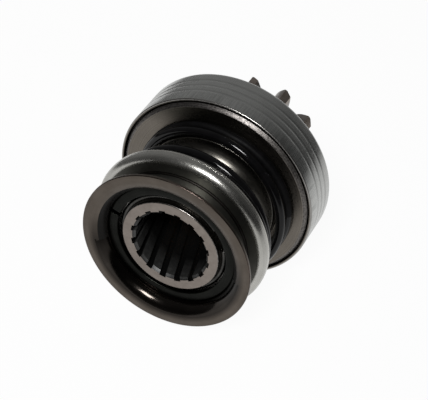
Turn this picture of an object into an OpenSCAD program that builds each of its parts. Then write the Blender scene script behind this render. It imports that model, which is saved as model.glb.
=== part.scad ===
// Starter drive: shift collar, meshing spring, roller clutch and pinion on one axis.
// Each piece is drawn along its own axis, with zero at the collar's front face,
// and then laid along +Y with the centre of the pinion's nose face at the origin.

/* [Collar] */
// Height of the front flange above the floor of the fork groove
flange_h = 4.1; // [3.6:0.1:6]
// Thickness of the front flange at its rim
flange_t = 0.8; // [0.6:0.05:1.2]
// Width of the fork groove, from the front flange's rim to the rear flange
groove_w = 6.4; // [5.4:0.1:7.4]
// Wall of the collar under the fork groove
collar_wall = 1.25; // [1:0.05:2]
// Height of the rear flange above the floor of the fork groove
rear_flange_h = 4.6; // [3.6:0.1:6]
// Thickness of the rear flange
rear_flange_t = 2.2; // [1.4:0.1:3]
// Radius of the rolled mouth at the front of the bore
mouth_r = 3.8; // [2.5:0.1:4.2]
// Wall of the guide bush between the sleeve and the collar
guide_wall = 3.85; // [3:0.05:5]
// Wall of the guide bush's rear spigot, which carries the spring plate
spigot_wall = 2.15; // [1.4:0.05:2.8]
// How far the spring plate stands out past the meshing spring, or more to meet the rear flange
plate_rim = 0.75; // [0.4:0.05:2]
// Thickness of the spring plate
plate_t = 1.2; // [1:0.1:2.4]
// Depth of the split ring behind the collar's front face
split_ring_set = 3.2; // [2.8:0.1:3.6]
// Thickness of the split ring
split_ring_t = 1.5; // [1.2:0.1:1.8]
// Height of the split ring's bore above the sleeve
split_ring_rise = 1.5; // [1.3:0.05:2]
// Gap between the ends of the split ring
split_ring_gap = 1.2; // [0.6:0.1:3]

/* [Sleeve] */
// Outer diameter of the splined sleeve
sleeve_d = 25.6; // [24:0.1:29]
// Depth of the sleeve's end behind the collar's front face
sleeve_set = 2.7; // [2.5:0.1:2.8]
// Number of helical splines
spline_n = 16; // [12:1:20]
// Diameter at the floor of the spline grooves
spline_major_d = 20.9; // [20:0.1:21.4]
// Diameter at the crest of the splines
spline_minor_d = 18.8; // [17.6:0.1:19.4]
// Length of the splines
spline_len = 21; // [16:0.5:22]
// Helix angle of the splines, at the groove floor
spline_helix = 16; // [0:1:30]
// Wire diameter of the snap ring
snap_wire_d = 1.6; // [1.3:0.1:2]
// Opening of the snap ring, in degrees
snap_open = 25; // [10:1:60]
// Thickness of the stop washer
stop_washer_t = 0.7; // [0.5:0.1:1]

/* [Meshing spring] */
// Length of the fitted spring, from the spring plate to the clutch's front disc
spring_len = 16.3; // [14:0.1:20]
// Wire diameter of the meshing spring
spring_wire_d = 2.4; // [1.8:0.1:2.6]
// Mean coil diameter of the meshing spring
spring_mean_d = 41.2; // [37:0.1:45]
// Rise of the open coils for each turn
spring_pitch = 8.9; // [6:0.1:12]
// Gap between the wire's front end and the coil behind it
spring_end_gap = 0.27; // [0.1:0.01:1]
// Turns that lie on the clutch's disc
spring_rear_turns = 0.25; // [0.1:0.05:0.6]

/* [Clutch] */
// Outer diameter of the drum shell
drum_d = 52.2; // [51.4:0.1:56]
// Sheet thickness of the drum shell
shell_t = 1.1; // [0.8:0.1:1.4]
// Distance of the shell's front edge behind the disc's face
shell_set = 0.1; // [0:0.1:0.8]
// Room between the boss in front of the disc and the meshing spring
boss_room = 2; // [1:0.1:3]
// Height of the boss in front of the disc
boss_h = 3.5; // [2:0.1:5]
// Thickness of the disc in front of the rollers
disc_t = 2; // [1.6:0.1:4]
// Chamfer on the disc's outer edge
disc_chamfer = 1.7; // [0.6:0.1:1.8]
// Depth of the roller pockets along the axis
pocket_h = 7.8; // [7:0.1:11]
// Diameter of a roller
roller_d = 6.5; // [6:0.1:7]
// Diameter of the pinion's shank, on which the rollers run
race_d = 24; // [22:0.1:26]
// Angle of the cam ramp to the race
ramp_angle = 6; // [4:0.5:8]
// Diameter of a plunger
plunger_d = 4.3; // [3.8:0.1:4.8]
// Length of a plunger
plunger_len = 6; // [5:0.1:6.6]
// Thickness of the roller cover
cover_t = 0.9; // [0.6:0.1:1.4]
// Thickness of the lock halves
lock_t = 0.6; // [0.5:0.1:1]
// How far the lock halves reach behind the shell's rim
lock_lap = 0.6; // [0.3:0.05:2]
// Width of the seal ring
seal_w = 2.2; // [1.6:0.1:3]
// Thickness of the thrust washer
thrust_t = 0.7; // [0.5:0.1:1.2]

/* [Pinion] */
// Number of teeth
tooth_n = 10; // [9:1:11]
// Gear module
gear_module = 2.54; // [2.4:0.02:2.6]
// Length of the teeth
tooth_len = 14.6; // [13:0.1:20]
// Length of the neck between the drum and the teeth
neck_len = 1.75; // [1:0.05:4]
// Bore of the bushes, for the shaft
bush_bore_d = 12; // [10:0.1:12.6]
// Outer diameter of the bushes
bush_d = 14.5; // [13.4:0.1:15]
// Length of the bush in the pinion's nose
nose_bush_len = 13; // [8:0.1:14]
// Length of the bush in the pinion's shank
shank_bush_len = 9.7; // [6:0.1:10]

/* [Hidden] */
$fn = 96;
cut = 1;                    // how far a cut runs past the face it opens
run_gap = 0.05;             // radial clearance of a turning or sliding fit
face_gap = 0.1;             // gap between flat faces that move past each other
seat_gap = 0.05;            // gap between a spring or washer and its seat
fit_gap = 0.02;             // radial gap of pieces that are pressed or held together
photo_turn = -199.4;        // turns the photograph's angle on the face into this frame's

// Stations along the axis, from the collar's front face to the pinion's nose
groove_front = flange_t;
groove_back = groove_front + groove_w;
collar_back = groove_back + rear_flange_t;
plate_front = collar_back + face_gap;
plate_back = plate_front + plate_t;
disc_face = plate_back + spring_len;
boss_face = disc_face - boss_h;
shell_front = disc_face + shell_set;
pocket_floor = disc_face + disc_t;
cam_end = pocket_floor + pocket_h;
cover_front = cam_end + seat_gap;
cover_back = cover_front + cover_t;
lock_front = cover_back + face_gap;
lock_back = lock_front + lock_t;
shell_inside = lock_back + face_gap;
shell_back = shell_inside + shell_t;
tooth_start = shell_back + neck_len;
nose = tooth_start + tooth_len;
shank_end = pocket_floor + 2*seat_gap + thrust_t;

// Sleeve, guide bush and collar, from the axis outwards
sleeve_r = sleeve_d/2;
sleeve_chamfer = 0.4;
sleeve_fillet_r = 1.2;
guide_bore_r = sleeve_r + run_gap;
spigot_r = guide_bore_r + spigot_wall;
bush_outer_r = guide_bore_r + guide_wall;
collar_bore_r = bush_outer_r + run_gap;
groove_r = collar_bore_r + collar_wall;
flange_r = groove_r + flange_h;
rear_flange_r = groove_r + rear_flange_h;
mouth_edge_r = collar_bore_r + mouth_r;
flange_edge_r = 0.25;
flare_r = mouth_r - collar_wall;
groove_fillet_r = 0.5;
rear_edge_r = 0.2;
rear_crest_r = min(1.8, rear_flange_t - 2*rear_edge_r);
plate_front_edge = 0.2;
plate_back_edge = min(0.8, plate_t - 2*plate_front_edge);
flush_gap = 0.05;

// Split ring, snap ring and stop washer
split_groove_h = 0.25;
split_ring_r = collar_bore_r + split_groove_h;
split_ring_bore_r = sleeve_r + split_ring_rise;
split_ring_angle = 38 + photo_turn;
split_clear = 0.25;
bush_front = split_ring_set + split_ring_t + face_gap;
snap_outer_r = split_ring_bore_r - split_clear;
snap_r = snap_outer_r - snap_wire_d/2;
snap_set = 1.4;
snap_z = sleeve_set + snap_set + snap_wire_d/2;
snap_end_angle = 190 + photo_turn;
washer_front = snap_z + snap_wire_d/2 + seat_gap;
washer_back = washer_front + stop_washer_t;
counterbore_floor = washer_back + seat_gap;
counterbore_r = snap_outer_r + 3*face_gap;

// Splines
spline_phase = 9.2 + photo_turn;
spline_rate = tan(spline_helix)/(spline_major_d/2)*180/PI;
relief_h = 0.15;
relief_r = spline_major_d/2 + relief_h;

// Meshing spring
spring_r = spring_mean_d/2;
spring_front_turns = 1 - (spring_wire_d + spring_end_gap)/spring_pitch;
plate_r = max(spring_r + spring_wire_d/2 + plate_rim, rear_flange_r - flush_gap);
boss_r = spring_r - spring_wire_d/2 - boss_room;

// Clutch
drum_r = drum_d/2;
shell_bore_r = drum_r - shell_t;
body_r = shell_bore_r - fit_gap;
shell_edge_r = 0.4;
shell_rear_edge_r = 1.4;
band_n = 3;
band_first = 3.3;
band_pitch = 2.3;
band_w = 1;
band_h = 0.1;
boss_edge = 0.4;
roller_n = 5;
race_r = race_d/2;
roller_r = roller_d/2;
roller_gap = 0.05;
roller_path_r = race_r + roller_r + roller_gap;
roller_len = pocket_h - 2*face_gap;
cam_gap = 0.6;
cam_bore_r = race_r + cam_gap;
ramp_front_room = 0.55;
ramp_back_room = 1.75;
ramp_front = -(roller_r + ramp_front_room);
ramp_back = roller_r + ramp_back_room;
ramp_rise = roller_r + roller_gap;
plunger_r = plunger_d/2;
plunger_bore_r = plunger_r + run_gap;
plunger_rise = 0.3;
plunger_path = roller_path_r + plunger_rise;
plunger_tip = sqrt(pow(roller_r, 2) - pow(plunger_rise, 2)) + seat_gap;
plunger_wall = 0.7;
plunger_floor = 1.5;
plunger_room = 4.2;
plunger_bore_end = plunger_tip + plunger_len + plunger_room;
plunger_z = pocket_floor + pocket_h/2;
coil_wire_d = 0.5;
coil_turns = 5;
coil_room = 0.2;
coil_mean_r = plunger_r - plunger_wall - coil_wire_d/2 - coil_room;
cover_gap = 0.4;
cover_bore_r = race_r + cover_gap;
seal_r = race_r + seal_w;
lock_groove_h = 1.2;
lock_groove_r = race_r - lock_groove_h;
lock_r = seal_r + lock_lap;
lock_split = 0.6;
thrust_room = 0.35;
thrust_bore_r = bush_d/2 + thrust_room;
thrust_r = race_r - face_gap;

// Pinion
pressure_angle = 20;
profile_shift = 0.25;
pitch_r = gear_module*tooth_n/2;
base_r = pitch_r*cos(pressure_angle);
tip_r = pitch_r + gear_module;
root_r = pitch_r - gear_module*(1.25 - profile_shift);
half_tooth = (90/tooth_n) + 2*profile_shift*tan(pressure_angle)/tooth_n*180/PI;
flank_steps = 5;
tooth_phase = 11.3;
tip_chamfer = 0.3;
entry_angle = 35;
entry_rise = 0.3;
bush_r = bush_d/2;
bush_bore_r = bush_bore_d/2;
shank_bush_set = 0.5;
shank_bush_front = shank_end + shank_bush_set;

// Lays a piece along +Y, with the pinion's nose at the origin
module on_axis() {
    translate([0, -nose, 0]) rotate([-90, 0, 0]) children();
}

// Round blank between two stations
module rod(r, from, to) {
    translate([0, 0, from]) cylinder(r = r, h = to - from);
}

// Ring between two stations
module ring(outer, inner, from, to) {
    difference() {
        rod(outer, from, to);
        rod(inner, from - cut, to + cut);
    }
}

// Round blank with rounded outer edges
module rounded_rod(r, from, to, front_edge, back_edge) {
    rotate_extrude() difference() {
        translate([0, from]) square([r, to - from]);
        edge_cut(r, from, front_edge, 1);
        edge_cut(r, to, back_edge, -1);
    }
}

// What a rounded outer edge takes off a square corner, in the profile's plane
module edge_cut(r, at, edge, way) {
    difference() {
        translate([r - edge, way > 0 ? at - cut : at - edge]) square([edge + cut, edge + cut]);
        translate([r - edge, at + way*edge]) circle(r = edge);
    }
}

// A cone that takes a chamfer off a rod's front or rear edge
module chamfer_cut(r, at, size, way) {
    rotate_extrude() polygon([[r - size, at], [r - size, at - way*cut], [r + cut, at - way*cut],
        [r + cut, at + way*(size + cut)], [r, at + way*size]]);
}

// Places a child at a roller, with x along the radius and y along the roller's path
module at_roller(i) {
    rotate([0, 0, (i - 1)*360/roller_n]) children();
}

// Height of a coil's wire at a share of its active rise, eased at both ends
ease = 0.06;
function eased(x) = x < -ease ? 0
    : x < ease ? pow(x + ease, 2)/(4*ease)
    : x < 1 - ease ? x
    : x < 1 + ease ? 1 - pow(1 + ease - x, 2)/(4*ease)
    : 1;

// A wire of round section that winds about the z axis
module coil(mean_r, wire_r, low, high, pitch, front_turns, rear_turns, first_angle, sides, steps) {
    active = (high - low)/pitch;
    turns = front_turns + active + rear_turns;
    rings = ceil(turns*steps);
    points = [for (k = [0:rings]) let (turn = k*turns/rings, a = first_angle + 360*turn,
        z = low + (high - low)*eased((turn - front_turns)/active))
        for (j = [0:sides - 1]) let (b = 360*j/sides, r = mean_r + wire_r*cos(b))
            [r*cos(a), r*sin(a), z + wire_r*sin(b)]];
    walls = [for (k = [0:rings - 1]) for (j = [0:sides - 1])
        let (p = k*sides + j, q = k*sides + (j + 1)%sides)
            for (face = [[p, p + sides, q + sides], [p, q + sides, q]]) face];
    first = [for (j = [0:sides - 1]) j];
    last = [for (j = [sides - 1:-1:0]) rings*sides + j];
    polyhedron(points, concat(walls, [first, last]));
}

// Bore with helical spline grooves, as a solid to be cut out
module spline_bore() {
    half_groove = 360/spline_n*0.21;
    half_crest = 360/spline_n*0.29;
    minor_r = spline_minor_d/2;
    major_r = spline_major_d/2;
    translate([0, 0, sleeve_set - cut])
        linear_extrude(height = spline_len + cut, twist = -spline_rate*(spline_len + cut), slices = 9)
            rotate(spline_phase - spline_rate*cut)
                polygon([for (i = [0:spline_n - 1]) let (a = i*360/spline_n)
                    for (p = [[minor_r, -half_crest], [major_r, -half_groove],
                        [major_r, half_groove], [minor_r, half_crest]])
                        [p[0]*cos(a + p[1]), p[0]*sin(a + p[1])]]);
}

// Pocket of one roller with its ramp, and the bore behind it for the plunger
module roller_pocket() {
    slope = tan(ramp_angle);
    wall = roller_path_r + ramp_rise/cos(ramp_angle);
    translate([0, 0, pocket_floor]) linear_extrude(height = pocket_h + cut)
        polygon([[race_r - cut, ramp_front], [wall + ramp_front*slope, ramp_front],
            [wall + ramp_back*slope, ramp_back], [race_r - cut, ramp_back]]);
    translate([plunger_path, ramp_back - cut, plunger_z]) rotate([-90, 0, 0])
        cylinder(r = plunger_bore_r, h = plunger_bore_end - ramp_back + cut);
}

// Splined sleeve, boss, disc and cam ring, turned from one forging
module clutch_body() {
    color("dimgray") on_axis() difference() {
        union() {
            rod(sleeve_r, sleeve_set, boss_face + cut);
            rotate_extrude() difference() {
                translate([0, boss_face - sleeve_fillet_r])
                    square([sleeve_r + sleeve_fillet_r, sleeve_fillet_r + cut]);
                translate([sleeve_r + sleeve_fillet_r, boss_face - sleeve_fillet_r])
                    circle(r = sleeve_fillet_r);
            }
            rod(boss_r, boss_face, disc_face + cut);
            rod(body_r, disc_face, cam_end);
        }
        chamfer_cut(sleeve_r, sleeve_set, sleeve_chamfer, 1);
        chamfer_cut(boss_r, boss_face, boss_edge, 1);
        chamfer_cut(body_r, disc_face, disc_chamfer, 1);
        spline_bore();
        rod(relief_r, sleeve_set + spline_len - seat_gap, pocket_floor + cut);
        rod(cam_bore_r, pocket_floor, cam_end + cut);
        for (i = [1:roller_n]) at_roller(i) roller_pocket();
        ring(sleeve_r + cut, snap_r - snap_wire_d/2 - fit_gap,
            snap_z - snap_wire_d/2 - seat_gap, snap_z + snap_wire_d/2 + seat_gap);
    }
}

// Pressed shell round the clutch, with shallow turned bands
module drum_shell() {
    color("silver") on_axis() difference() {
        rounded_rod(drum_r, shell_front, shell_back, shell_edge_r, shell_rear_edge_r);
        rod(shell_bore_r, shell_front - cut, shell_inside);
        rod(seal_r, shell_inside - cut, shell_back + cut);
        for (k = [0:band_n - 1]) let (at = shell_back - band_first - k*band_pitch)
            ring(drum_r + cut, drum_r - band_h, at - band_w, at);
    }
}

// Plate that closes the roller pockets
module roller_cover() {
    color("gainsboro") on_axis() ring(body_r - run_gap, cover_bore_r, cover_front, cover_back);
}

// Rubber ring between the shell and the pinion's shank
module seal_ring() {
    color("black") on_axis()
        ring(seal_r - fit_gap, race_r + face_gap, shell_inside + run_gap, shell_back - run_gap);
}

// Washer between the pinion's shank and the clutch body
module thrust_washer() {
    color("peru") on_axis()
        ring(thrust_r, thrust_bore_r, pocket_floor + seat_gap, pocket_floor + seat_gap + thrust_t);
}

// Involute of the pinion's base circle, in degrees, at a radius outside it
function involute(r) = let (a = acos(min(1, base_r/r))) tan(a)*180/PI - a;
// Half of a tooth's angle at a radius
function half_angle(r) = half_tooth + involute(pitch_r) - involute(max(r, base_r));

// One tooth as a solid that runs past the tip circle
module tooth() {
    low = root_r - cut;
    radii = concat([low], [for (k = [0:flank_steps]) base_r + (tip_r + cut/4 - base_r)*k/flank_steps]);
    flank = [for (r = radii) [r*cos(half_angle(r)), r*sin(half_angle(r))]];
    linear_extrude(height = tooth_len)
        polygon(concat(flank, [for (k = [len(flank) - 1:-1:0]) [flank[k][0], -flank[k][1]]]));
}

// Slanted cut on one flank at the nose end, which leads the tooth into mesh
module entry_cut() {
    corner = tip_r*sin(half_angle(tip_r));
    reach = (corner + root_r*sin(180/tooth_n))/cos(entry_angle);
    translate([root_r + entry_rise, -corner, nose]) rotate([-entry_angle, 0, 0])
        cube([tip_r - root_r + cut, reach, gear_module]);
}

// Pinion with its shank, which is the clutch's inner race
module pinion() {
    color("rosybrown") on_axis() difference() {
        union() {
            rod(race_r, shank_end, tooth_start);
            rod(root_r, tooth_start - cut, nose);
            intersection() {
                for (i = [0:tooth_n - 1]) rotate([0, 0, tooth_phase + i*360/tooth_n])
                    translate([0, 0, tooth_start]) tooth();
                rod(tip_r, tooth_start, nose);
            }
        }
        chamfer_cut(tip_r, nose, tip_chamfer, -1);
        for (i = [0:tooth_n - 1]) rotate([0, 0, tooth_phase + i*360/tooth_n]) entry_cut();
        rod(bush_r + fit_gap, shank_end - cut, nose + cut);
        ring(race_r + cut, lock_groove_r, lock_front - face_gap, lock_back + face_gap);
    }
}

// Bronze bush in the pinion's nose
module nose_bush() {
    color("goldenrod") on_axis() ring(bush_r, bush_bore_r, nose - nose_bush_len, nose);
}

// Bronze bush in the pinion's shank
module shank_bush() {
    color("goldenrod") on_axis()
        ring(bush_r, bush_bore_r, shank_bush_front, shank_bush_front + shank_bush_len);
}

// Two half washers in the shank's groove, which hold the pinion in the drum
module lock_halves() {
    color("gray") on_axis() difference() {
        ring(lock_r, lock_groove_r + run_gap, lock_front, lock_back);
        translate([-lock_r - cut, -lock_split/2, lock_front - cut])
            cube([2*(lock_r + cut), lock_split, lock_t + 2*cut]);
    }
}

// Clutch roller
module roller(i) {
    color("lightsteelblue") on_axis() at_roller(i) translate([roller_path_r, 0, 0])
        rod(roller_r, pocket_floor + face_gap, pocket_floor + face_gap + roller_len);
}

// Cup that pushes a roller up its ramp
module plunger(i) {
    color("slategray") on_axis() at_roller(i)
        translate([plunger_path, plunger_tip, plunger_z]) rotate([-90, 0, 0]) difference() {
            cylinder(r = plunger_r, h = plunger_len);
            translate([0, 0, plunger_floor])
                cylinder(r = plunger_r - plunger_wall, h = plunger_len - plunger_floor + cut);
        }
}

// Small spring behind a plunger
module roller_spring(i) {
    from = plunger_tip + plunger_floor + coil_wire_d/2 + seat_gap;
    to = plunger_bore_end - coil_wire_d/2 - seat_gap;
    color("lightgray") on_axis() at_roller(i)
        translate([plunger_path, 0, plunger_z]) rotate([-90, 0, 0])
            coil(coil_mean_r, coil_wire_d/2, from, to, (to - from)/(coil_turns - 1), 0.5, 0.5, 0, 6, 10);
}

// Spring between the guide bush's plate and the clutch's disc
module meshing_spring() {
    seat = spring_wire_d/2 + seat_gap;
    lift_angle = 63 + photo_turn;
    color("black") on_axis()
        coil(spring_r, spring_wire_d/2, plate_back + seat, disc_face - seat, spring_pitch,
            spring_front_turns, spring_rear_turns, lift_angle - 360*spring_front_turns, 12, 36);
}

// Rounded corner between the fork groove's floor and one of its walls
module groove_fillet(at, r, way) {
    rotate_extrude() difference() {
        translate([groove_r - cut, way > 0 ? at - cut : at - r]) square([r + cut, r + cut]);
        translate([groove_r + r, at + way*r]) circle(r = r);
    }
}

// Flared front flange, as thick as the collar's wall at the mouth and thinner toward its rim
module flared_flange() {
    rotate_extrude() difference() {
        polygon([[0, 0], [flange_r, 0], [flange_r, flange_t], [mouth_edge_r, collar_wall], [0, collar_wall]]);
        edge_cut(flange_r, 0, flange_edge_r, 1);
    }
}

// Grooved ring that the shift fork moves
module shift_collar() {
    color("rosybrown") on_axis() difference() {
        union() {
            flared_flange();
            rod(groove_r, collar_wall/2, groove_back + cut);
            groove_fillet(collar_wall, flare_r, 1);
            groove_fillet(groove_back, groove_fillet_r, -1);
            rounded_rod(rear_flange_r, groove_back, collar_back, rear_crest_r, rear_edge_r);
        }
        rod(collar_bore_r, -cut, collar_back + cut);
        rotate_extrude() difference() {
            translate([0, -cut]) square([mouth_edge_r, mouth_r + cut]);
            translate([mouth_edge_r, mouth_r]) circle(r = mouth_r);
        }
        rod(split_ring_r + fit_gap, split_ring_set - fit_gap, split_ring_set + split_ring_t + fit_gap);
    }
}

// Bush that slides on the sleeve and carries the collar
module guide_bush() {
    color("dimgray") on_axis() difference() {
        union() {
            rod(bush_outer_r, bush_front, plate_front);
            rod(spigot_r, plate_front - cut, plate_back);
        }
        rod(guide_bore_r, bush_front - cut, plate_back + cut);
        rod(counterbore_r, bush_front - cut, counterbore_floor);
    }
}

// Plate on the guide bush, on which the meshing spring stands
module spring_plate() {
    color("khaki") on_axis() difference() {
        rounded_rod(plate_r, plate_front, plate_back, plate_front_edge, plate_back_edge);
        rod(spigot_r + fit_gap, plate_front - cut, plate_back + cut);
    }
}

// Split ring in the collar's bore, which keeps the collar on the guide bush
module split_ring() {
    color("gray") on_axis() difference() {
        ring(split_ring_r, split_ring_bore_r, split_ring_set, split_ring_set + split_ring_t);
        rotate([0, 0, split_ring_angle])
            translate([split_ring_bore_r - cut, -split_ring_gap/2, split_ring_set - cut])
                cube([split_ring_r, split_ring_gap, split_ring_t + 2*cut]);
    }
}

// Washer between the snap ring and the guide bush
module stop_washer() {
    color("silver") on_axis() ring(counterbore_r - face_gap, guide_bore_r, washer_front, washer_back);
}

// Wire ring in the sleeve's groove
module snap_ring() {
    color("darkgray") on_axis() rotate([0, 0, snap_end_angle])
        rotate_extrude(angle = 360 - snap_open) translate([snap_r, snap_z]) circle(d = snap_wire_d);
}

clutch_body();
drum_shell();
roller_cover();
seal_ring();
thrust_washer();
pinion();
nose_bush();
shank_bush();
lock_halves();
roller(1);  // roller_1
roller(2);  // roller_2
roller(3);  // roller_3
roller(4);  // roller_4
roller(5);  // roller_5
plunger(1);  // plunger_1
plunger(2);  // plunger_2
plunger(3);  // plunger_3
plunger(4);  // plunger_4
plunger(5);  // plunger_5
roller_spring(1);  // roller_spring_1
roller_spring(2);  // roller_spring_2
roller_spring(3);  // roller_spring_3
roller_spring(4);  // roller_spring_4
roller_spring(5);  // roller_spring_5
meshing_spring();
shift_collar();
guide_bush();
spring_plate();
split_ring();
stop_washer();
snap_ring();
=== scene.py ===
import math

import bmesh
import bpy
from mathutils import Matrix, Vector


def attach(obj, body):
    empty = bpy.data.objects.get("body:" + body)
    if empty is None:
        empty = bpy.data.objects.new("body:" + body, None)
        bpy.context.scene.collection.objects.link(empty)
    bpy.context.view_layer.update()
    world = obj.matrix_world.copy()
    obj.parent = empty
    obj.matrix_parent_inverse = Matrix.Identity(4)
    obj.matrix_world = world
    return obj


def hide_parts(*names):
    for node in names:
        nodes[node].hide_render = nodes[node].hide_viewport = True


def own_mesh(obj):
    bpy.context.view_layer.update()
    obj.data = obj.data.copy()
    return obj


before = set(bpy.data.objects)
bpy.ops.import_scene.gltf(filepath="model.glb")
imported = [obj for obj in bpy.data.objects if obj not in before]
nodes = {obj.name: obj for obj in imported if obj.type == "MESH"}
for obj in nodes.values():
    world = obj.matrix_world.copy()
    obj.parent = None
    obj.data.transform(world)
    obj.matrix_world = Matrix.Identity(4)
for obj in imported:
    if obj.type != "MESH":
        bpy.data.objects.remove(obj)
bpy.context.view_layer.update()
print("frame loaded with", len(nodes), "solids")

# everything is turned in millimetres: x is the radius, y the distance behind the collar's front
noseAt = 56.0
toFrame = Matrix.Scale(0.001, 4) @ Matrix.Translation((0, -noseAt, 0))
axis = (0, 1, 0)
centre = (0, 0, 0)
roundLook = {"fewestCuts": 4, "cutsPerMm": 5}


# a corner is its radius, its length along the axis and its rounding
def placeCorners(bm, corners):
    return [bm.verts.new((r, z, 0)) for r, z, edge in corners]


def roundCorners(bm, points, corners):
    for point, (r, z, edge) in zip(points, corners):
        if edge:
            cuts = max(roundLook["fewestCuts"], int(edge * roundLook["cutsPerMm"]))
            bmesh.ops.bevel(bm, geom=[point], offset=edge, offset_type="OFFSET", segments=cuts, profile=0.5,
                            affect="VERTICES", material=-1, clamp_overlap=False)


def cutProfile(corners):  # a closed profile
    bm = bmesh.new()
    points = placeCorners(bm, corners)
    bm.faces.new(points)
    roundCorners(bm, points, corners)
    bmesh.ops.delete(bm, geom=bm.faces[:], context="FACES_ONLY")
    return bm


def cutChain(corners):  # an open profile
    bm = bmesh.new()
    points = placeCorners(bm, corners)
    # a far point closes the face while its corners are rounded
    far = bm.verts.new((corners[0][0] - 4, corners[-1][1], 0))
    bm.faces.new(points + [far])
    roundCorners(bm, points, corners)
    bmesh.ops.delete(bm, geom=[far], context="VERTS")
    bmesh.ops.delete(bm, geom=bm.faces[:], context="FACES_ONLY")
    return bm


def turnRound(bm, cuts=256):
    bmesh.ops.spin(bm, geom=bm.verts[:] + bm.edges[:], cent=centre, axis=axis, angle=math.tau,
                   steps=cuts, use_merge=True)
    closeUp(bm)


def closeUp(bm):
    bmesh.ops.remove_doubles(bm, verts=bm.verts[:], dist=1e-4)
    bmesh.ops.recalc_face_normals(bm, faces=bm.faces[:])


def capEnds(bm, edge):
    rims = [e for e in bm.edges if e.is_boundary]
    bmesh.ops.holes_fill(bm, edges=rims, sides=0)
    bmesh.ops.bevel(bm, geom=rims, offset=edge, offset_type="OFFSET", segments=3, profile=0.5,
                    affect="EDGES", material=-1)


def turnBy(bm, verts, degrees):
    bmesh.ops.rotate(bm, verts=verts, cent=centre, matrix=Matrix.Rotation(math.radians(degrees), 3, "Y"))


def pick(geom, kind):
    return [part for part in geom if isinstance(part, kind)]


def radiusOf(point):
    return math.hypot(point.x, point.z)


# each face takes the finish of its place: middle, radius, length and lean
def paint(bm, finishes, finishAt):
    for face in bm.faces:
        spot = face.calc_center_median()
        face.material_index = finishes.index(finishAt(spot, radiusOf(spot), spot.y, face.normal.y))


def putIn(name, bm, body, stands, finishes, sharp=32):
    bm.transform(toFrame)
    mesh = bpy.data.meshes.new(name)
    bm.to_mesh(mesh)
    bm.free()
    carried = mesh.attributes.get("custom_normal")  # a copied solid brings its own normals
    if carried:
        mesh.attributes.remove(carried)
    mesh.shade_smooth()
    mesh.set_sharp_from_angle(angle=math.radians(sharp))
    for finish in finishes:
        mesh.materials.append(finish)
    piece = bpy.data.objects.new(name, mesh)
    bpy.context.scene.collection.objects.link(piece)
    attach(piece, body)
    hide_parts(*stands)
    print(name, len(mesh.polygons), "faces")
    return piece


# node helpers for the finishes
def addNode(tree, kind, options=None, sockets=None):
    made = tree.nodes.new("ShaderNode" + kind)
    for key, value in (options or {}).items():
        setattr(made, key, value)
    for key, value in (sockets or {}).items():
        if isinstance(value, bpy.types.NodeSocket):
            tree.links.new(value, made.inputs[key])
        else:
            made.inputs[key].default_value = value
    return made


def maths(tree, operation, first, second=0.0):
    return addNode(tree, "Math", {"operation": operation}, {0: first, 1: second}).outputs[0]


def readPlace(tree):  # where a point lies: its coordinates, radius, length along the axis and height
    coords = addNode(tree, "TexCoord").outputs["Object"]
    flat = addNode(tree, "VectorMath", {"operation": "MULTIPLY"}, {0: coords, 1: (1, 0, 1)}).outputs[0]
    radius = addNode(tree, "VectorMath", {"operation": "LENGTH"}, {0: flat}).outputs["Value"]
    parts = addNode(tree, "SeparateXYZ", None, {0: coords}).outputs
    return coords, flat, radius, parts["Y"], parts["Z"]


def lineNoise(tree, field, fineness, detail=4.0):  # turning marks: noise along one measure
    along = maths(tree, "MULTIPLY", field, fineness)
    return addNode(tree, "TexNoise", {"noise_dimensions": "1D"},
                   {"W": along, "Scale": 1.0, "Detail": detail, "Roughness": 0.65}).outputs[0]


def patchNoise(tree, coords, stretch, detail=4.0, rough=0.6):
    placed = addNode(tree, "Mapping", None, {"Vector": coords, "Scale": stretch}).outputs[0]
    return addNode(tree, "TexNoise", None,
                   {"Vector": placed, "Scale": 1.0, "Detail": detail, "Roughness": rough}).outputs[0]


def spread(tree, value, fromLow, fromHigh, low, high):
    return addNode(tree, "MapRange", None,
                   {0: value, 1: fromLow, 2: fromHigh, 3: low, 4: high}).outputs[0]


def mixColour(tree, share, first, second):
    return addNode(tree, "Mix", {"data_type": "RGBA"}, {0: share, 6: first, 7: second}).outputs[2]


def tint(colour):
    return (*colour, 1.0)


finishLook = {
    "speckEdge": 0.06, "scratchFrom": 0.36, "scratchTo": 0.60, "grainShare": 0.6, "markShare": 0.4,
    "shadeFrom": 0.3, "shadeTo": 0.7, "bumpUnit": 1.0e-6, "turnedAngle": 0.25,
}


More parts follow.
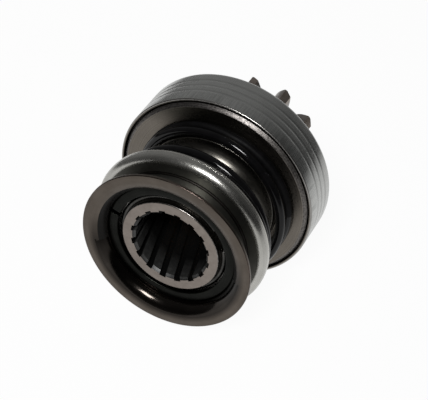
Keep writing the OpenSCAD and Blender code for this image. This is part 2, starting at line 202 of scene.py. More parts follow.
def steelFinish(name, look):
    # look holds two tones, roughness from and to, turning lines, grain, spots, fades and long streaks
    finish = bpy.data.materials.new(name)
    finish.use_nodes = True
    tree = finish.node_tree
    shader = tree.nodes["Principled BSDF"]
    coords, flat, radius, length, height = readPlace(tree)
    patches = patchNoise(tree, coords, (look["patch"],) * 3, 5.0)
    marks = lineNoise(tree, length if look["lines"] == "length" else radius, look["fineness"])
    grain = patchNoise(tree, coords, look["grain"], 3.0, 0.7)
    share = maths(tree, "ADD", maths(tree, "MULTIPLY", patches, 1 - look["marked"]),
                  maths(tree, "MULTIPLY", marks, look["marked"]))
    share = spread(tree, share, 0.5 - look["soft"], 0.5 + look["soft"], 0.0, 1.0)
    colour = mixColour(tree, share, tint(look["dark"]), tint(look["light"]))
    if look.get("spots"):  # small pits and specks
        specks = patchNoise(tree, coords, (look["spotSize"],) * 3, 2.0)
        speckShare = spread(tree, specks, look["spots"], look["spots"] + finishLook["speckEdge"], 0.0, 1.0)
        colour = mixColour(tree, speckShare, colour, tint(look["spotTone"]))
    fields = {"length": length, "radius": radius, "height": height}
    # a fade brings in a tone from one place to another, and may be held within a second measure
    for measure, start, end, most, tone, *within in look.get("fades", []):
        share = spread(tree, fields[measure], start, end, 0.0, most)
        if within:
            second, near, beyond = within
            share = maths(tree, "MULTIPLY", share, spread(tree, fields[second], near, beyond, 0.0, 1.0))
        colour = mixColour(tree, share, colour, tint(tone))
    if look.get("streaks"):  # scratches along the axis, which fade between two lengths
        around = addNode(tree, "VectorMath", {"operation": "NORMALIZE"}, {0: flat}).outputs[0]
        along = addNode(tree, "VectorMath", {"operation": "MULTIPLY"}, {0: coords, 1: (0, 1, 0)}).outputs[0]
        wrapped = addNode(tree, "VectorMath", {"operation": "ADD"}, {0: around, 1: along}).outputs[0]
        scratches = patchNoise(tree, wrapped, look["streaks"], 3.0, 0.6)
        fade = spread(tree, length, *look["streakFade"], look["streakDeep"], 0.0)
        deep = spread(tree, scratches, finishLook["scratchFrom"], finishLook["scratchTo"], 1.0, 0.0)
        scratchShare = maths(tree, "MULTIPLY", deep, fade)
        colour = mixColour(tree, scratchShare, colour, tint(look["streakTone"]))
    tree.links.new(colour, shader.inputs["Base Color"])
    shade = maths(tree, "ADD", maths(tree, "MULTIPLY", grain, finishLook["grainShare"]),
                  maths(tree, "MULTIPLY", marks, finishLook["markShare"]))
    roughness = spread(tree, shade, finishLook["shadeFrom"], finishLook["shadeTo"],
                       look["smooth"], look["rough"])
    tree.links.new(roughness, shader.inputs["Roughness"])
    relief = maths(tree, "ADD", maths(tree, "MULTIPLY", grain, look["grainDepth"]),
                   maths(tree, "MULTIPLY", marks, look["lineDepth"]))
    bump = addNode(tree, "Bump", None, {"Strength": 1.0, "Distance": finishLook["bumpUnit"],
                                        "Height": relief})
    tree.links.new(bump.outputs[0], shader.inputs["Normal"])
    shader.inputs["Metallic"].default_value = look.get("metal", 1.0)
    shader.inputs["Specular IOR Level"].default_value = look.get("gloss", 0.5)
    shader.inputs["Anisotropic"].default_value = look.get("turned", 0.0)
    if look.get("turned"):
        tangent = addNode(tree, "Tangent", {"direction_type": "RADIAL", "axis": "Y"})
        tree.links.new(tangent.outputs[0], shader.inputs["Tangent"])
        shader.inputs["Anisotropic Rotation"].default_value = finishLook["turnedAngle"]
    return finish


# finishes shared by several pieces
bareSteel = steelFinish("bareSteel", {
    "dark": (0.20, 0.195, 0.185), "light": (0.36, 0.35, 0.335), "patch": 220, "soft": 0.2, "marked": 0.5,
    "lines": "length", "fineness": 5200, "grain": (2600, 2600, 2600), "smooth": 0.22, "rough": 0.36,
    "grainDepth": 2.0, "lineDepth": 4.0})
wornEdge = steelFinish("wornEdge", {
    "dark": (0.07, 0.065, 0.06), "light": (0.26, 0.245, 0.235), "patch": 1500, "soft": 0.16, "marked": 0.0,
    "lines": "length", "fineness": 5000, "grain": (3000, 3000, 3000), "smooth": 0.18, "rough": 0.32,
    "grainDepth": 7.0, "lineDepth": 0.0})
# painted shade: a near-black finish for recesses where shade falls, in the groove's rear corner, on the drum
# lip's inner wall and on the disc's rim wall
recessShade = steelFinish("recessShade", {
    "dark": (0.007, 0.0065, 0.006), "light": (0.020, 0.018, 0.016), "patch": 400, "soft": 0.25,
    "marked": 0.3, "lines": "radius", "fineness": 5000, "grain": (2000, 2000, 2000),
    "smooth": 0.35, "rough": 0.5,
    "grainDepth": 6.0, "lineDepth": 3.0})
print("shared finishes made")


# shift collar: thin flared flange with a rolled mouth, fork groove, rear flange with a round crest
collarLook = {
    "corners": [(22.1, 0, 0.25), (22.1, 0.8, 0.15), (20.55, 1.25, 0.3), (18.0, 1.25, 2.2), (18.0, 7.2, 0.5),
                (22.6, 7.2, 1.8), (22.6, 9.44, 0.05), (16.75, 9.44, 0.2), (16.75, 4.72, 0), (17.02, 4.72, 0),
                (17.02, 3.18, 0), (16.8, 3.18, 0.15), (17.326, 0, 3.224)],
    "grooveFrom": 0.95, "grooveFloor": 17.5, "grooveLean": -0.3, "rearFrom": 6.0,
    "cornerShadeAt": (6.6, 7.3), "cornerShadeOut": 18.7, "crestFrom": 7.0, "crestIn": 20.9,
    "shadeOver": -3.0, "mouthOut": 19.4, "throatOut": 18.3, "mouthTo": 3.7, "mouthLean": 0.5,
    "seatOut": 17.03, "seatFrom": 4.0, "stepAt": (2.7, 3.2), "stepOut": 17.0,
    "edgeIn": 21.87, "edgeTo": 0.3, "edgeLean": (-0.9, -0.2),
    "face": {"dark": (0.066, 0.055, 0.045), "light": (0.117, 0.100, 0.085), "patch": 160, "soft": 0.22,
             "marked": 0.35, "lines": "radius", "fineness": 3300, "grain": (1500, 1500, 1500),
             "smooth": 0.27, "rough": 0.40, "grainDepth": 7.0, "lineDepth": 3.0,
             "spots": 0.74, "spotSize": 420,
             "spotTone": (0.02, 0.017, 0.015), "turned": 0.3,
             # painted shade: the face darkens towards the mouth on the lower side
             "fades": [("radius", 0.0207, 0.0194, 1.0, (0.030, 0.026, 0.023), "height", 0.006, -0.003)]},
    "groove": {"dark": (0.115, 0.113, 0.102), "light": (0.155, 0.153, 0.139), "patch": 190, "soft": 0.5,
               "marked": 0.2, "lines": "length", "fineness": 5200, "grain": (2100, 2100, 2100),
               "smooth": 0.30, "rough": 0.42, "grainDepth": 3.0, "lineDepth": 3.0, "turned": 0.4},
    "crest": {"dark": (0.29, 0.286, 0.264), "light": (0.50, 0.492, 0.465), "patch": 170, "soft": 0.25,
              "marked": 0.6, "lines": "length", "fineness": 5200, "grain": (2300, 2300, 2300),
              "smooth": 0.20, "rough": 0.33, "grainDepth": 14.0, "lineDepth": 5.0, "turned": 0.5},
    # painted shade: the mouth's rounding is a darker copy of the face steel, and its fade darkens it further
    # towards the upper side
    "mouth": {"dark": (0.020, 0.0175, 0.0155), "light": (0.040, 0.035, 0.031), "patch": 200, "soft": 0.22,
              "marked": 0.4, "lines": "length", "fineness": 2600, "grain": (1500, 1500, 1500),
              "smooth": 0.10, "rough": 0.20, "grainDepth": 4.0, "lineDepth": 3.0,
              "fades": [("height", -0.010, -0.003, 0.85, (0.0045, 0.004, 0.0036))]},
    # painted shade: a near-black copy of the mouth steel that barely reflects, for the upper side of the
    # mouth and the seat
    "throat": {"dark": (0.003, 0.0027, 0.0024), "light": (0.007, 0.0063, 0.0056), "patch": 300, "soft": 0.25,
               "marked": 0.4, "lines": "length", "fineness": 2600, "grain": (1500, 1500, 1500),
               "smooth": 0.25, "rough": 0.45, "grainDepth": 4.0, "lineDepth": 3.0,
               "metal": 0.0, "gloss": 0.08},
    "copper": {"dark": (0.015, 0.0115, 0.010), "light": (0.10, 0.075, 0.066), "patch": 900, "soft": 0.2,
               "marked": 0.0, "lines": "length", "fineness": 900, "grain": (2500, 2500, 2500),
               "smooth": 0.18, "rough": 0.30, "grainDepth": 6.0, "lineDepth": 0.0},
}
collarFace = steelFinish("collarFace", collarLook["face"])
collarGroove = steelFinish("collarGroove", collarLook["groove"])
collarCrest = steelFinish("collarCrest", collarLook["crest"])
collarMouth = steelFinish("collarMouth", collarLook["mouth"])
shadedThroat = steelFinish("shadedThroat", collarLook["throat"])
copperEdge = steelFinish("copperEdge", collarLook["copper"])

def collarFinishAt(spot, r, z, lean):
    shaded = spot.z >= collarLook["shadeOver"]
    finish = collarFace
    if z > collarLook["grooveFrom"] and r > collarLook["grooveFloor"] and lean > collarLook["grooveLean"]:
        finish = collarGroove
    if z > collarLook["rearFrom"]:
        finish = collarGroove
    # painted shade in the groove's rear corner
    if collarLook["cornerShadeAt"][0] < z < collarLook["cornerShadeAt"][1] and r < collarLook["cornerShadeOut"]:
        finish = recessShade
    if z > collarLook["crestFrom"] and r > collarLook["crestIn"]:
        finish = collarCrest
    # painted shade: in the mouth and at the seat, the upper side takes the near-black throat copy and the
    # lower side the darker mouth copy
    inMouth = r < collarLook["throatOut" if shaded else "mouthOut"] and z < collarLook["mouthTo"]
    atSeat = r < collarLook["seatOut"] and z > collarLook["seatFrom"]
    if inMouth and lean < collarLook["mouthLean"] and finish == collarFace or atSeat:
        finish = shadedThroat if shaded else collarMouth
    atStep = collarLook["stepAt"][0] < z < collarLook["stepAt"][1] and r < collarLook["stepOut"]
    atEdge = r > collarLook["edgeIn"] and z < collarLook["edgeTo"]
    if atStep or atEdge and collarLook["edgeLean"][0] < lean < collarLook["edgeLean"][1]:
        finish = copperEdge
    return finish


collarFinishes = [collarFace, collarGroove, collarCrest, copperEdge, collarMouth, recessShade, shadedThroat]
bm = cutProfile(collarLook["corners"])
turnRound(bm)
paint(bm, collarFinishes, collarFinishAt)
putIn("shiftCollar", bm, "collar", ["shift_collar"], collarFinishes)


# pressed ring that the spring pushes on
plateLook = {
    "corners": [(15.02, 9.48, 0.1), (22.58, 9.48, 0.05), (22.58, 10.7, 0.8), (15.02, 10.7, 0.1)],
    "steel": {"dark": (0.36, 0.353, 0.325), "light": (0.60, 0.588, 0.545), "patch": 170, "soft": 0.22,
              "marked": 0.7, "lines": "length", "fineness": 4300, "grain": (2300, 2300, 2300),
              "smooth": 0.20, "rough": 0.34, "grainDepth": 4.0, "lineDepth": 9.0},
}
plateSteel = steelFinish("plateSteel", plateLook["steel"])
bm = cutProfile(plateLook["corners"])
turnRound(bm)
putIn("springPlate", bm, "guide", ["spring_plate"], [plateSteel])


# split ring in the mouth, sprung into its groove
splitLook = {
    "corners": [(14.3, 3.2, 0.3), (17.0, 3.2, 0.7), (17.0, 4.7, 0.12), (14.3, 4.7, 0.2)],
    "gapAt": -161.4, "gap": 1.2, "middle": 15.65, "cuts": 240, "endEdge": 0.12,
    "steel": {"dark": (0.004, 0.0042, 0.0036), "light": (0.013, 0.0135, 0.012), "patch": 300, "soft": 0.2,
              "marked": 0.5, "lines": "radius", "fineness": 4200, "grain": (2000, 2000, 2000),
              "smooth": 0.25, "rough": 0.40, "grainDepth": 6.0, "lineDepth": 4.0},
}
ringSteel = steelFinish("ringSteel", splitLook["steel"])
bm = cutProfile(splitLook["corners"])
halfGap = math.degrees(splitLook["gap"] / 2 / splitLook["middle"])
turnBy(bm, bm.verts[:], splitLook["gapAt"] + halfGap)
bmesh.ops.spin(bm, geom=bm.verts[:] + bm.edges[:], cent=centre, axis=axis,
               angle=math.radians(360 - 2 * halfGap), steps=splitLook["cuts"])
capEnds(bm, splitLook["endEdge"])
closeUp(bm)
putIn("splitRing", bm, "collar", ["split_ring"], [ringSteel])


# round wire snap ring on the sleeve
snapLook = {
    "wire": 0.8, "sides": 20, "at": (13.25, 4.9), "from": -9.4, "sweep": 335, "cuts": 200, "endEdge": 0.2,
    "steel": {"dark": (0.03, 0.03, 0.028), "light": (0.07, 0.068, 0.064), "patch": 400, "soft": 0.2,
              "marked": 0.0, "lines": "length", "fineness": 900, "grain": (1800, 1800, 1800), "smooth": 0.18,
              "rough": 0.34, "grainDepth": 8.0, "lineDepth": 0.0},
}
wireSteel = steelFinish("wireSteel", snapLook["steel"])
bm = bmesh.new()
bmesh.ops.create_circle(bm, cap_ends=False, segments=snapLook["sides"], radius=snapLook["wire"])
bmesh.ops.translate(bm, verts=bm.verts[:], vec=(*snapLook["at"], 0))
turnBy(bm, bm.verts[:], snapLook["from"])
bmesh.ops.spin(bm, geom=bm.verts[:] + bm.edges[:], cent=centre, axis=axis,
               angle=math.radians(snapLook["sweep"]), steps=snapLook["cuts"])
capEnds(bm, snapLook["endEdge"])
closeUp(bm)
putIn("snapRing", bm, "clutch", ["snap_ring"], [wireSteel])


# meshing spring, resting to one side of the boss: closed front turn, open turn, ground rear end
springLook = {
    "wire": 1.2, "sides": 28, "radius": 19.6, "aside": 0.93, "front": 11.95, "from": 371.0, "step": 4.0,
    "climb": [(0, 0.0), (326, 0.0), (354, 0.02333), (900, 0.02333), (925, 0.0), (1244, 0.0)],
    "seat": 26.51, "groundFrom": 1164, "ground": 0.94, "endEdge": 0.15, "shadeFrom": 24.1,
    "black": {"dark": (0.0015, 0.0015, 0.0016), "light": (0.004, 0.0038, 0.0042), "patch": 260, "soft": 0.25,
              "marked": 0.0, "lines": "length", "fineness": 900, "grain": (1300, 1300, 1300), "smooth": 0.06,
              "rough": 0.13, "grainDepth": 2.0, "lineDepth": 0.0, "spots": 0.72, "spotSize": 1100,
              "spotTone": (0.03, 0.028, 0.033), "metal": 0.0, "gloss": 0.2},
    "shade": {"dark": (0.0015, 0.0015, 0.0016), "light": (0.005, 0.0048, 0.0052), "patch": 400, "soft": 0.25,
              "marked": 0.0, "lines": "length", "fineness": 900, "grain": (1700, 1700, 1700), "smooth": 0.35,
              "rough": 0.55, "grainDepth": 6.0, "lineDepth": 0.0, "metal": 0.0, "gloss": 0.06},
}
springBlack = steelFinish("springBlack", springLook["black"])
springShade = steelFinish("springShade", springLook["shade"])


def climbAt(turned):  # rise per degree, straight between the listed angles
    for (low, first), (high, second) in zip(springLook["climb"], springLook["climb"][1:]):
        if turned <= high:
            return first + (second - first) * (turned - low) / (high - low)


def springFinishAt(spot, r, z, lean):  # painted shade: the upper side of the rear turns is a duller, darker copy of the black, so it catches no highlight
    return springShade if z > springLook["shadeFrom"] and spot.z > 0 else springBlack


springFinishes = [springBlack, springShade]
bm = bmesh.new()
bmesh.ops.create_circle(bm, cap_ends=False, segments=springLook["sides"], radius=springLook["wire"])
bmesh.ops.translate(bm, verts=bm.verts[:], vec=(springLook["radius"], springLook["front"], 0))
turnBy(bm, bm.verts[:], springLook["from"])
lastRing = bm.verts[:] + bm.edges[:]
step = springLook["step"]
for k in range(round(springLook["climb"][-1][0] / step)):
    lift = climbAt((k + 0.5) * step) * step
    made = bmesh.ops.spin(bm, geom=lastRing, cent=centre, axis=axis, dvec=(0, lift, 0),
                          angle=-math.radians(step), steps=1)
    lastRing = made["geom_last"]
    if k * step > springLook["groundFrom"]:  # the end is ground flat against the disc
        bmesh.ops.scale(bm, verts=pick(lastRing, bmesh.types.BMVert), vec=(1, springLook["ground"], 1),
                        space=Matrix.Translation((0, -springLook["seat"], 0)))
bmesh.ops.translate(bm, verts=bm.verts[:], vec=(springLook["aside"], 0, 0))
capEnds(bm, springLook["endEdge"])
closeUp(bm)
paint(bm, springFinishes, springFinishAt)
meshingSpring = putIn("meshingSpring", bm, "clutch", ["meshing_spring"], springFinishes, 45)
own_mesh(meshingSpring)


# clutch body: splined sleeve, boss and disc, with the cam ring of the solid behind
bodyLook = {
    "outer": [(12.3, 2.7, 0), (12.8, 2.7, 0.35), (12.8, 23.5, 4.0), (17.4, 23.5, 0.2), (17.4, 26.6, 0.35),
              (24.1, 26.6, 0.15), (24.98, 27.4, 0.1), (24.98, 28.8, 0)],
    "rim": 12.3, "disc": 24.98, "splines": 16, "major": 10.45, "minor": 9.4, "entry": 10.05,
    "entryLong": 0.6, "groove": 4.725, "grooveAt": -190.2, "grooveCuts": 6, "helix": 1.572,
    "from": 2.7, "to": 23.7, "slices": 14,
    "relief": 10.6, "reliefSides": 256, "joinAt": 28.8, "cutAt": 28.9,
    "joinZone": (28.7, 28.95), "joinSlack": 0.25,
    "flat": 0.95, "bevelTo": 3.2, "endTo": 2.75, "boreOut": 10.9, "bossOut": 17.6, "bossTo": 26.5,
    "wallIn": 24.9, "wallAt": (27.5, 28.9), "chamferIn": 23.2, "chamferTo": 28.75,
    "endFace": {"dark": (0.175, 0.150, 0.133), "light": (0.245, 0.215, 0.192), "patch": 500, "soft": 0.25,
                "marked": 0.15, "lines": "radius", "fineness": 5000, "grain": (2600, 2600, 2600),
                "smooth": 0.30,
                "rough": 0.46, "grainDepth": 8.0, "lineDepth": 2.0},
    "bore": {"dark": (0.014, 0.014, 0.014), "light": (0.058, 0.058, 0.056), "patch": 700, "soft": 0.3,
             "marked": 0.0, "lines": "length", "fineness": 2000, "grain": (2200, 2200, 2200), "smooth": 0.28,
             "rough": 0.48, "grainDepth": 8.0, "lineDepth": 0.0, "metal": 0.4,
             # painted shade: the bore goes black deeper in and in the spline grooves
             "fades": [("length", -0.0515, -0.0455, 1.0, (0.004, 0.004, 0.004)),
                       ("radius", 0.0097, 0.0101, 1.0, (0.003, 0.003, 0.003))]},
    "face": {"dark": (0.10, 0.088, 0.075), "light": (0.175, 0.158, 0.137), "patch": 90, "soft": 0.22,
             "marked": 0.55, "lines": "radius", "fineness": 4200, "grain": (1700, 1700, 1700),
             "smooth": 0.24, "rough": 0.36, "grainDepth": 4.0, "lineDepth": 6.0, "turned": 0.4,
             # painted shade: the disc face darkens towards the top
             "fades": [("height", 0.0155, 0.0205, 0.75, (0.030, 0.029, 0.024))]},
    "sleeve": {"dark": (0.095, 0.090, 0.080), "light": (0.140, 0.132, 0.118), "patch": 200, "soft": 0.22,
               "marked": 0.3, "lines": "length", "fineness": 4600, "grain": (2000, 2000, 2000),
               "smooth": 0.24, "rough": 0.38, "grainDepth": 4.0, "lineDepth": 5.0},
    "chamfer": {"dark": (0.045, 0.041, 0.038), "light": (0.21, 0.197, 0.186), "patch": 2300, "soft": 0.12,
                "marked": 0.4, "lines": "radius", "fineness": 7000, "grain": (2900, 2900, 2900),
                "smooth": 0.30, "rough": 0.45, "grainDepth": 20.0, "lineDepth": 8.0,
                # painted shade: the chamfer darkens towards the top, where the lamp's highlight falls
                "fades": [("height", 0.018, 0.024, 0.4, (0.014, 0.013, 0.015))]},
}
endFace = steelFinish("endFace", bodyLook["endFace"])
shadedBore = steelFinish("shadedBore", bodyLook["bore"])
discTurned = steelFinish("discTurned", bodyLook["face"])
sleeveSteel = steelFinish("sleeveSteel", bodyLook["sleeve"])
discChamfer = steelFinish("discChamfer", bodyLook["chamfer"])


def ringEdges(bm, holds):  # edges whose two ends both lie in the wanted place
    return [e for e in bm.edges if all(holds(radiusOf(v.co), v.co.y) for v in e.verts)]


bm = cutChain(bodyLook["outer"])
turnRound(bm)
frontAt = bodyLook["from"]
outerRim = ringEdges(bm, lambda r, z: abs(z - frontAt) < 0.02 and abs(r - bodyLook["rim"]) < 0.02)
pitch = 360 / bodyLook["splines"]
half = bodyLook["groove"]
cuts = bodyLook["grooveCuts"]
middle = (bodyLook["major"] + bodyLook["entry"]) / 2
stops = [(bodyLook["major"], -half + 2 * half * k / cuts) for k in range(cuts + 1)]
stops += [(middle, half)]
stops += [(bodyLook["entry"], half + (pitch - 2 * half) * k / cuts) for k in range(cuts + 1)]
stops += [(middle, pitch - half), (bodyLook["major"], pitch - half)]
chain = []
for r, a in stops:
    turn = math.radians(bodyLook["grooveAt"] + a)
    chain.append(bm.verts.new((r * math.cos(turn), frontAt, -r * math.sin(turn))))
links = [bm.edges.new(pair) for pair in zip(chain, chain[1:])]
bmesh.ops.spin(bm, geom=chain + links, cent=centre, axis=axis, steps=bodyLook["splines"] - 1,
               angle=math.tau * (1 - 1 / bodyLook["splines"]), use_duplicate=True)
bmesh.ops.remove_doubles(bm, verts=bm.verts[:], dist=1e-4)
rim = ringEdges(bm, lambda r, z: abs(z - frontAt) < 0.01 and r < bodyLook["relief"])
bmesh.ops.triangle_fill(bm, use_beauty=True, edges=outerRim + rim, normal=(0, -1, 0))
sliceLong = (bodyLook["to"] - frontAt - bodyLook["entryLong"]) / bodyLook["slices"]
for k, long in enumerate([bodyLook["entryLong"]] + [sliceLong] * bodyLook["slices"]):
    made = bmesh.ops.extrude_edge_only(bm, edges=rim)["geom"]
    moved = pick(made, bmesh.types.BMVert)
    rim = pick(made, bmesh.types.BMEdge)
    turnBy(bm, moved, bodyLook["helix"] * long)
    bmesh.ops.translate(bm, verts=moved, vec=(0, long, 0))
    if k == 0:  # the lands start behind a bevelled entry
        for v in moved:
            share = (bodyLook["major"] - radiusOf(v.co)) / (bodyLook["major"] - bodyLook["entry"])
            inward = share * (bodyLook["entry"] - bodyLook["minor"]) / radiusOf(v.co)
            v.co.x -= v.co.x * inward
            v.co.z -= v.co.z * inward
upright = Matrix.Translation((0, bodyLook["to"], 0)) @ Matrix.Rotation(math.pi / 2, 4, "X")
made = bmesh.ops.create_circle(bm, cap_ends=False, segments=bodyLook["reliefSides"],
                               radius=bodyLook["relief"], matrix=upright)
reliefRim = list({e for v in made["verts"] for e in v.link_edges})
bmesh.ops.triangle_fill(bm, use_beauty=True, edges=rim + reliefRim, normal=(0, 1, 0))
made = bmesh.ops.extrude_edge_only(bm, edges=reliefRim)["geom"]
bmesh.ops.translate(bm, verts=pick(made, bmesh.types.BMVert),
                    vec=(0, bodyLook["joinAt"] - bodyLook["to"], 0))

# the rear part comes from the solid, cut through the disc and joined to the new front
rear = bmesh.new()
rear.from_mesh(nodes["clutch_body"].data)
rear.transform(toFrame.inverted())
bmesh.ops.remove_doubles(rear, verts=rear.verts[:], dist=1e-3)
bmesh.ops.bisect_plane(rear, geom=rear.verts[:] + rear.edges[:] + rear.faces[:],
                       plane_co=(0, bodyLook["cutAt"], 0), plane_no=axis, clear_inner=True)
rearMesh = bpy.data.meshes.new("rearCut")
rear.to_mesh(rearMesh)
rear.free()
bm.from_mesh(rearMesh)
bpy.data.meshes.remove(rearMesh)
joinFrom, joinTo = bodyLook["joinZone"]
for joint in (bodyLook["relief"], bodyLook["disc"]):
    near = ringEdges(bm, lambda r, z: abs(r - joint) < bodyLook["joinSlack"] and joinFrom < z < joinTo)
    bmesh.ops.bridge_loops(bm, edges=[e for e in near if e.is_boundary])
closeUp(bm)
print("clutch body open edges:", sum(e.is_boundary for e in bm.edges))


def bodyFinishAt(spot, r, z, lean):
    sloped = abs(lean) < bodyLook["flat"]
    if z < bodyLook["bevelTo"] and r > bodyLook["rim"] and sloped:
        return wornEdge
    if z < bodyLook["endTo"]:
        return endFace
    if r < bodyLook["boreOut"] and z < bodyLook["joinZone"][1]:
        return shadedBore
    if r < bodyLook["bossOut"] and z < bodyLook["bossTo"]:
        return sleeveSteel
    # painted shade on the disc's rim wall inside the drum lip
    if r > bodyLook["wallIn"] and bodyLook["wallAt"][0] < z < bodyLook["wallAt"][1]:
        return recessShade
    if r > bodyLook["chamferIn"] and z < bodyLook["chamferTo"] and sloped:
        return discChamfer
    return discTurned


bodyFinishes = [endFace, shadedBore, discTurned, sleeveSteel, discChamfer, wornEdge, recessShade]
paint(bm, bodyFinishes, bodyFinishAt)
putIn("clutchBody", bm, "clutch", ["clutch_body"], bodyFinishes)


# drum shell with shallow turned bands
drumLook = {
    "front": 27.1, "back": 39.65, "radius": 26.1, "bore": 25.0, "inside": 38.55, "hole": 14.2,
    "lip": 25.4, "lipEnd": 28.78, "lipEdge": 0.1, "frontEdge": 0.35, "backEdge": 1.4, "holeEdge": 0.2,
    "holeInner": 0.15, "boreEdge": 0.3, "cuts": 288, "bandSoft": 0.05,
    "bandSlack": (0.09, 0.03), "bandZone": (30, 37),
    "innerOut": 25.5, "innerTo": 28.9, "faceOut": 25.76, "faceTo": 27.15, "edgeIn": 25.7, "edgeTo": 27.5,
    "bands": 3, "bandFirst": 3.3, "bandPitch": 2.3, "bandWide": 1.0, "bandDeep": 0.075, "bandEdge": 0.4,
    "side": {"dark": (0.34, 0.344, 0.332), "light": (0.50, 0.505, 0.49), "patch": 60, "soft": 0.30,
             "marked": 0.25, "lines": "length", "fineness": 2600, "grain": (1500, 60, 1500), "smooth": 0.20,
             "rough": 0.34, "grainDepth": 6.0, "lineDepth": 4.0, "streaks": (60, 160, 60), "streakDeep": 0.5,
             "streakFade": (-0.0275, -0.0225), "streakTone": (0.19, 0.194, 0.186)},
    "band": {"dark": (0.29, 0.293, 0.285), "light": (0.44, 0.445, 0.43), "patch": 300, "soft": 0.25,
             "marked": 0.5, "lines": "length", "fineness": 9000, "grain": (1500, 200, 1500), "smooth": 0.22,
             "rough": 0.38, "grainDepth": 6.0, "lineDepth": 5.0},
}
drumSide = steelFinish("drumSide", drumLook["side"])
drumBand = steelFinish("drumBand", drumLook["band"])
drumRadius = drumLook["radius"]
soft = drumLook["bandSoft"]
slope = drumLook["bandEdge"]
corners = [(drumLook["bore"], drumLook["lipEnd"], 0), (drumLook["lip"], drumLook["lipEnd"], 0),
           (drumLook["lip"], drumLook["front"], drumLook["lipEdge"]),
           (drumRadius, drumLook["front"], drumLook["frontEdge"])]
for k in reversed(range(drumLook["bands"])):
    last = drumLook["back"] - drumLook["bandFirst"] - k * drumLook["bandPitch"]
    first = last - drumLook["bandWide"]
    low = drumRadius - drumLook["bandDeep"]
    corners += [(drumRadius, first, soft), (low, first + slope, soft), (low, last - slope, soft),
                (drumRadius, last, soft)]
corners += [(drumRadius, drumLook["back"], drumLook["backEdge"]),
            (drumLook["hole"], drumLook["back"], drumLook["holeEdge"]),
            (drumLook["hole"], drumLook["inside"], drumLook["holeInner"]),
            (drumLook["bore"], drumLook["inside"], drumLook["boreEdge"])]


def drumFinishAt(spot, r, z, lean):
    # painted shade on the lip's inner wall beside the disc
    if r < drumLook["innerOut"] and z < drumLook["innerTo"]:
        return recessShade
    if r < drumLook["faceOut"] and z < drumLook["faceTo"]:
        return discTurned
    if r > drumLook["edgeIn"] and z < drumLook["edgeTo"]:
        return bareSteel
    deepest, least = drumLook["bandSlack"]
    bandFrom, bandTo = drumLook["bandZone"]
    if drumRadius - deepest < r < drumRadius - least and bandFrom < z < bandTo:
        return drumBand
    return drumSide


drumFinishes = [drumSide, drumBand, recessShade, discTurned, bareSteel]
bm = cutProfile(corners)
turnRound(bm, drumLook["cuts"])
paint(bm, drumFinishes, drumFinishAt)
putIn("drumShell", bm, "clutch", ["drum_shell"], drumFinishes)


# rubber seal lip in the drum's rear hole
sealLook = {
    "corners": [(12.1, 38.75, 0.1), (12.9, 38.6, 0.1), (14.18, 38.6, 0.15), (14.18, 39.6, 0.2),
                (13.0, 39.55, 0.2), (12.1, 39.2, 0.12)],
    "cuts": 160,
    "rubber": {"dark": (0.012, 0.012, 0.012), "light": (0.028, 0.027, 0.026), "patch": 700, "soft": 0.3,
               "marked": 0.3, "lines": "radius", "fineness": 4000, "grain": (3000, 3000, 3000),
               "smooth": 0.45, "rough": 0.7, "grainDepth": 9.0, "lineDepth": 4.0, "metal": 0.0},
}
sealRubber = steelFinish("sealRubber", sealLook["rubber"])
bm = cutProfile(sealLook["corners"])
turnRound(bm, sealLook["cuts"])
putIn("sealRing", bm, "clutch", ["seal_ring"], [sealRubber])


# bronze bush in the pinion's nose
bushLook = {
    "corners": [(6.0, 43.0, 0.25), (7.25, 43.0, 0.3), (7.25, 56.0, 0.25), (6.0, 56.0, 0.4)],
    "cuts": 128,
    "bronze": {"dark": (0.30, 0.17, 0.075), "light": (0.52, 0.33, 0.16), "patch": 350, "soft": 0.25,
               "marked": 0.5, "lines": "length", "fineness": 4200, "grain": (2400, 2400, 2400),
               "smooth": 0.22, "rough": 0.40, "grainDepth": 7.0, "lineDepth": 6.0,
               "spots": 0.70, "spotSize": 1500,
               "spotTone": (0.10, 0.06, 0.03)},
}
bushBronze = steelFinish("bushBronze", bushLook["bronze"])
bm = cutProfile(bushLook["corners"])
turnRound(bm, bushLook["cuts"])
putIn("noseBush", bm, "pinion", ["nose_bush"], [bushBronze])


# pinion: the solid's own teeth, merged and eased at the edges
pinionLook = {
    "edge": 0.00016, "edgeCuts": 2, "edgeAngle": 38, "sharp": 30, "flatAngle": 1.0,
    "landFrom": 14.8, "endLean": 0.9,
    "steel": {"dark": (0.15, 0.138, 0.128), "light": (0.34, 0.31, 0.285), "patch": 240, "soft": 0.22,
              "marked": 0.25, "lines": "length", "fineness": 3800, "grain": (1600, 1600, 1600),
              "smooth": 0.26, "rough": 0.44, "grainDepth": 8.0, "lineDepth": 3.0},
    "land": {"dark": (0.17, 0.142, 0.120), "light": (0.37, 0.315, 0.275), "patch": 380, "soft": 0.22,
             "marked": 0.4, "lines": "length", "fineness": 5200, "grain": (2300, 2300, 2300), "smooth": 0.26,
             "rough": 0.42, "grainDepth": 8.0, "lineDepth": 5.0},
}
toothSteel = steelFinish("toothSteel", pinionLook["steel"])
toothLand = steelFinish("toothLand", pinionLook["land"])
bm = bmesh.new()
bm.from_mesh(nodes["pinion"].data)
bm.transform(toFrame.inverted())
bmesh.ops.remove_doubles(bm, verts=bm.verts[:], dist=1e-3)
bmesh.ops.dissolve_limit(bm, angle_limit=math.radians(pinionLook["flatAngle"]), verts=bm.verts[:],
                         edges=bm.edges[:])


def toothFinishAt(spot, r, z, lean):
    return toothLand if r > pinionLook["landFrom"] or lean > pinionLook["endLean"] else toothSteel


toothFinishes = [toothSteel, toothLand]
paint(bm, toothFinishes, toothFinishAt)
pinionGear = putIn("pinionGear", bm, "pinion", ["pinion"], toothFinishes,
                   pinionLook["sharp"])
ease = pinionGear.modifiers.new("easedEdges", "BEVEL")
ease.width = pinionLook["edge"]
ease.segments = pinionLook["edgeCuts"]
ease.limit_method = "ANGLE"
ease.angle_limit = math.radians(pinionLook["edgeAngle"])


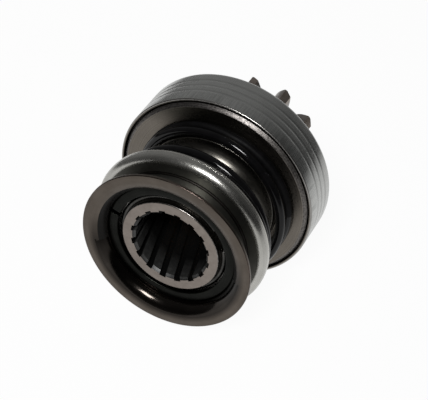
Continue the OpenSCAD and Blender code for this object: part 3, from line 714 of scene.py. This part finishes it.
# solids that keep their own shape take a worked finish
pockets = range(1, 6)
hiddenLook = {
    "bush": {"nodes": ["shank_bush"], "finish": bushBronze},
    "bare": {"nodes": ["guide_bush", "roller_cover", "thrust_washer", "stop_washer", "lock_halves"],
             "finish": bareSteel},
    "roller": {"nodes": ["roller_%d" % k for k in pockets] + ["plunger_%d" % k for k in pockets],
               "finish": bareSteel},
    "spring": {"nodes": ["roller_spring_%d" % k for k in pockets], "finish": wireSteel},
}
for group in hiddenLook.values():
    for name in group["nodes"]:
        solid = nodes[name]
        solid.data.materials.clear()
        solid.data.materials.append(group["finish"])
print("kept solids finished")


# floor, world, lamp and camera
stageLook = {
    "floorAt": -0.0262, "floorSize": 3.0, "white": 0.95, "paper": (0.90, 0.90, 0.90),
    "shade": (0.10, 0.10, 0.10),
    "poolAt": (-0.10, -0.055, 0), "poolScale": (1, 0.55, 1), "poolFrom": 0.13, "poolTo": 0.33,
    "keyFrom": (0.15, -0.68, 0.72), "keyFar": 1.1, "keySize": (0.28, 0.24), "keyPower": 10.8,
    "keyAim": (0, -0.03, 0),
    "sky": [(0.0, 0.27), (0.29, 0.245), (0.50, 0.25), (0.77, 0.17), (0.95, 0.077)],  # paler at the left
    "skyReach": 0.7, "frontLevel": 0.30, "frontTo": (-0.7, 0.5),
    "wallTop": 0.30, "wallFrom": (0.75, 0.95), "wallLevel": 0.5,
}
bm = bmesh.new()
bmesh.ops.create_grid(bm, x_segments=1, y_segments=1, size=stageLook["floorSize"])
bmesh.ops.translate(bm, verts=bm.verts[:], vec=(0, 0, stageLook["floorAt"]))
floorMesh = bpy.data.meshes.new("floor")
bm.to_mesh(floorMesh)
bm.free()
floor = bpy.data.objects.new("floor", floorMesh)
bpy.context.scene.collection.objects.link(floor)
paper = bpy.data.materials.new("paper")
paper.use_nodes = True
tree = paper.node_tree
tree.nodes.remove(tree.nodes["Principled BSDF"])
path = addNode(tree, "LightPath")
spot = addNode(tree, "VectorMath", {"operation": "MULTIPLY"},
               {0: addNode(tree, "TexCoord").outputs["Object"], 1: stageLook["poolScale"]}).outputs[0]
away = addNode(tree, "VectorMath", {"operation": "DISTANCE"}, {0: spot, 1: stageLook["poolAt"]})
# painted pool of light: near the object the floor is paper white and reflects as white, further out its
# colour is painted dark grey
pool = spread(tree, away.outputs["Value"], stageLook["poolFrom"], stageLook["poolTo"], 1.0, 0.0)
direct = maths(tree, "MAXIMUM", path.outputs["Is Camera Ray"], path.outputs["Is Transmission Ray"])
seen = maths(tree, "MAXIMUM", direct, maths(tree, "MULTIPLY", path.outputs["Is Glossy Ray"], pool))
share = maths(tree, "MULTIPLY", seen, stageLook["white"])
tone = mixColour(tree, pool, tint(stageLook["shade"]), tint(stageLook["paper"]))
matt = addNode(tree, "BsdfDiffuse", None, {"Color": tone})
bright = addNode(tree, "Emission", None, {"Color": (1, 1, 1, 1), "Strength": 1.0})
both = addNode(tree, "MixShader", None, {0: share, 1: matt.outputs[0], 2: bright.outputs[0]})
tree.links.new(both.outputs[0], tree.nodes["Material Output"].inputs["Surface"])
floorMesh.materials.append(paper)

room = bpy.data.worlds.new("room")
bpy.context.scene.world = room
room.use_nodes = True
tree = room.node_tree
sky = addNode(tree, "TexCoord").outputs["Generated"]
parts = addNode(tree, "SeparateXYZ", None, {0: sky})
reach = stageLook["skyReach"]
ramp = addNode(tree, "ValToRGB", None, {0: spread(tree, parts.outputs["X"], -reach, reach, 0.0, 1.0)})
stops = ramp.color_ramp.elements
while len(stops) < len(stageLook["sky"]):
    stops.new(0.5)
for stop, (at, level) in zip(stops, stageLook["sky"]):
    stop.position = at
    stop.color = (level, level, level, 1)
behind = spread(tree, parts.outputs["Y"], *stageLook["frontTo"], stageLook["frontLevel"], 1.0)
low = spread(tree, parts.outputs["Z"], stageLook["wallTop"], 0.0, 0.0, 1.0)
# a pale wall far behind
wall = spread(tree, parts.outputs["Y"], *stageLook["wallFrom"], 0.0, stageLook["wallLevel"])
sweep = maths(tree, "MULTIPLY", low, wall)
level = maths(tree, "ADD", maths(tree, "MULTIPLY", ramp.outputs[0], behind), sweep)
tree.nodes["Background"].inputs["Color"].default_value = (1, 1, 1, 1)
tree.links.new(level, tree.nodes["Background"].inputs["Strength"])

lamp = bpy.data.lights.new("keyLamp", "AREA")
lamp.shape = "RECTANGLE"
lamp.size, lamp.size_y = stageLook["keySize"]
lamp.energy = stageLook["keyPower"]
rig = bpy.data.objects.new("keyLamp", lamp)
way = Vector(stageLook["keyFrom"]).normalized()
rig.location = Vector(stageLook["keyAim"]) + way * stageLook["keyFar"]
rig.rotation_euler = way.to_track_quat("Z", "Y").to_euler()
bpy.context.scene.collection.objects.link(rig)

cameraLook = {
    "at": (0.1255, -0.29085, 0.2328), "toward": (-0.335, 0.699, -0.631), "lens": 126.17, "sensor": 36.0,
    "near": 0.01,
}
camera = bpy.data.cameras.new("camera")
camera.lens = cameraLook["lens"]
camera.sensor_width = cameraLook["sensor"]
camera.clip_start = cameraLook["near"]
view = bpy.data.objects.new("camera", camera)
view.location = cameraLook["at"]
view.rotation_euler = Vector(cameraLook["toward"]).to_track_quat("-Z", "Y").to_euler()
bpy.context.scene.collection.objects.link(view)
bpy.context.scene.camera = view
bpy.context.scene.view_settings.view_transform = "Standard"
print("stage set")
